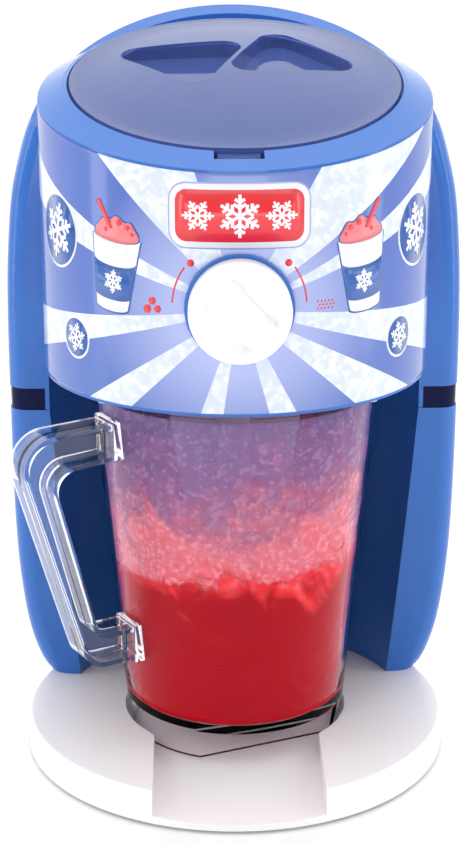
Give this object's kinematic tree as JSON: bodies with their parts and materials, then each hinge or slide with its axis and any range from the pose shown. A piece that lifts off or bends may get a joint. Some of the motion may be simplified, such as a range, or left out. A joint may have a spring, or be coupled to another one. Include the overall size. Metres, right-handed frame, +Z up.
{
  "type": "slush machine",
  "caption": "Counter-top slush machine: round base, two-part tower with an ice shaver head under a smoky domed lid, coarse and fine knob, stirrer and clear jug.",
  "frame": {"origin": "on the vertical axis of the base, jug and shaver shaft, at the level of the surface it stands on", "axes": "+Z up, -Y out of the front (knob side), +X to the right of a person facing the front"},
  "size_m": [0.2682, 0.2656, 0.4299],
  "materials": {
    "white_plastic": "satin moulded white",
    "blue_plastic": "high gloss moulded blue",
    "navy_plastic": "high gloss dark navy",
    "printed_film": "printed glossy film",
    "smoky_plastic": "smoky see-through plastic",
    "clear_plastic": "clear plastic with a faint violet tint",
    "crushed_ice": "wet red crushed ice",
    "rubber": "matt",
    "steel": "bright",
    "motor_steel": "zinc plated can",
    "brass": "turned",
    "grey_plastic": "moulded pale grey",
    "black_plastic": "moulded black"
  },
  "bodies": {
    "stand": {"base_tray": "white_plastic", "rubber_feet": "rubber", "base_screws": "steel", "lower_housing": "blue_plastic", "jug_surround": "blue_plastic"},
    "head": {"upper_housing": "blue_plastic", "rear_cover": "blue_plastic", "rear_cover_screws": "steel", "cord_gland": "rubber", "locating_block_left": "navy_plastic", "locating_block_right": "navy_plastic", "drum_housing": "blue_plastic", "label_film": "printed_film", "top_ring": "blue_plastic", "hopper": "grey_plastic", "upper_bush": "brass", "lower_bush": "brass", "motor": "motor_steel", "motor_screws": "steel", "chassis": "steel", "chassis_screws": "steel", "head_floor": "grey_plastic", "floor_screws": "steel", "ice_chute": "grey_plastic", "knob_ring": "blue_plastic", "knob_bracket": "grey_plastic", "plunger_guide": "grey_plastic", "plunger_spring": "steel", "microswitch": "black_plastic"},
    "plunger": {"switch_plunger": "white_plastic"},
    "lid": {"lid": "smoky_plastic", "lid_seal": "rubber"},
    "rotor": {"ice_paddle": "grey_plastic", "main_shaft": "steel", "drive_gear": "grey_plastic", "gear_pin": "steel", "mixing_paddle": "clear_plastic"},
    "motor_rotor": {"motor_shaft": "steel", "motor_pinion": "brass"},
    "knob": {"knob": "white_plastic", "knob_shaft": "steel"},
    "blade": {"blade_carrier": "grey_plastic", "shaver_blade": "steel", "blade_screws": "steel"},
    "jug": {"jug_body": "clear_plastic", "jug_handle": "clear_plastic", "slush_drink": "crushed_ice"}
  },
  "joints": [
    {"name": "head_lift", "type": "slide", "parent": "stand", "child": "head", "axis": [0, 0, 1], "range_m": [0, 0.26]},
    {"name": "jug_lift", "type": "slide", "parent": "stand", "child": "jug", "axis": [0, 0, 1], "range_m": [0, 0.052]},
    {"name": "lid_press", "type": "slide", "parent": "head", "child": "plunger", "axis": [0, 0, 1], "range_m": [-0.003, 0], "stiffness_N_per_m": 700, "springref_m": 0.003, "deforming": ["plunger_spring"]},
    {"name": "lid_lift", "type": "slide", "parent": "plunger", "child": "lid", "axis": [0, -0.2706, 0.9627], "range_m": [0, 0.08]},
    {"name": "paddle_spin", "type": "hinge", "parent": "head", "child": "rotor", "pos_m": [0, 0, 0.25], "axis": [0, 0, 1], "continuous": true},
    {"name": "motor_spin", "type": "hinge", "parent": "head", "child": "motor_rotor", "pos_m": [0, 0.048, 0.255], "axis": [0, 0, 1], "continuous": true},
    {"name": "knob_turn", "type": "hinge", "parent": "head", "child": "knob", "pos_m": [0, -0.1, 0.2952], "axis": [0, -1, 0], "range_deg": [-45, 45]},
    {"name": "blade_height", "type": "slide", "parent": "head", "child": "blade", "axis": [0, 0, 1], "range_m": [-0.00142, 0.00142]}
  ],
  "couplings": [
    {"joint": "jug_lift", "follows": "head_lift", "ratio": 0.2},
    {"joint": "motor_spin", "follows": "paddle_spin", "ratio": -5.4},
    {"joint": "blade_height", "follows": "knob_turn", "m_per_rad": 0.0018006}
  ]
}
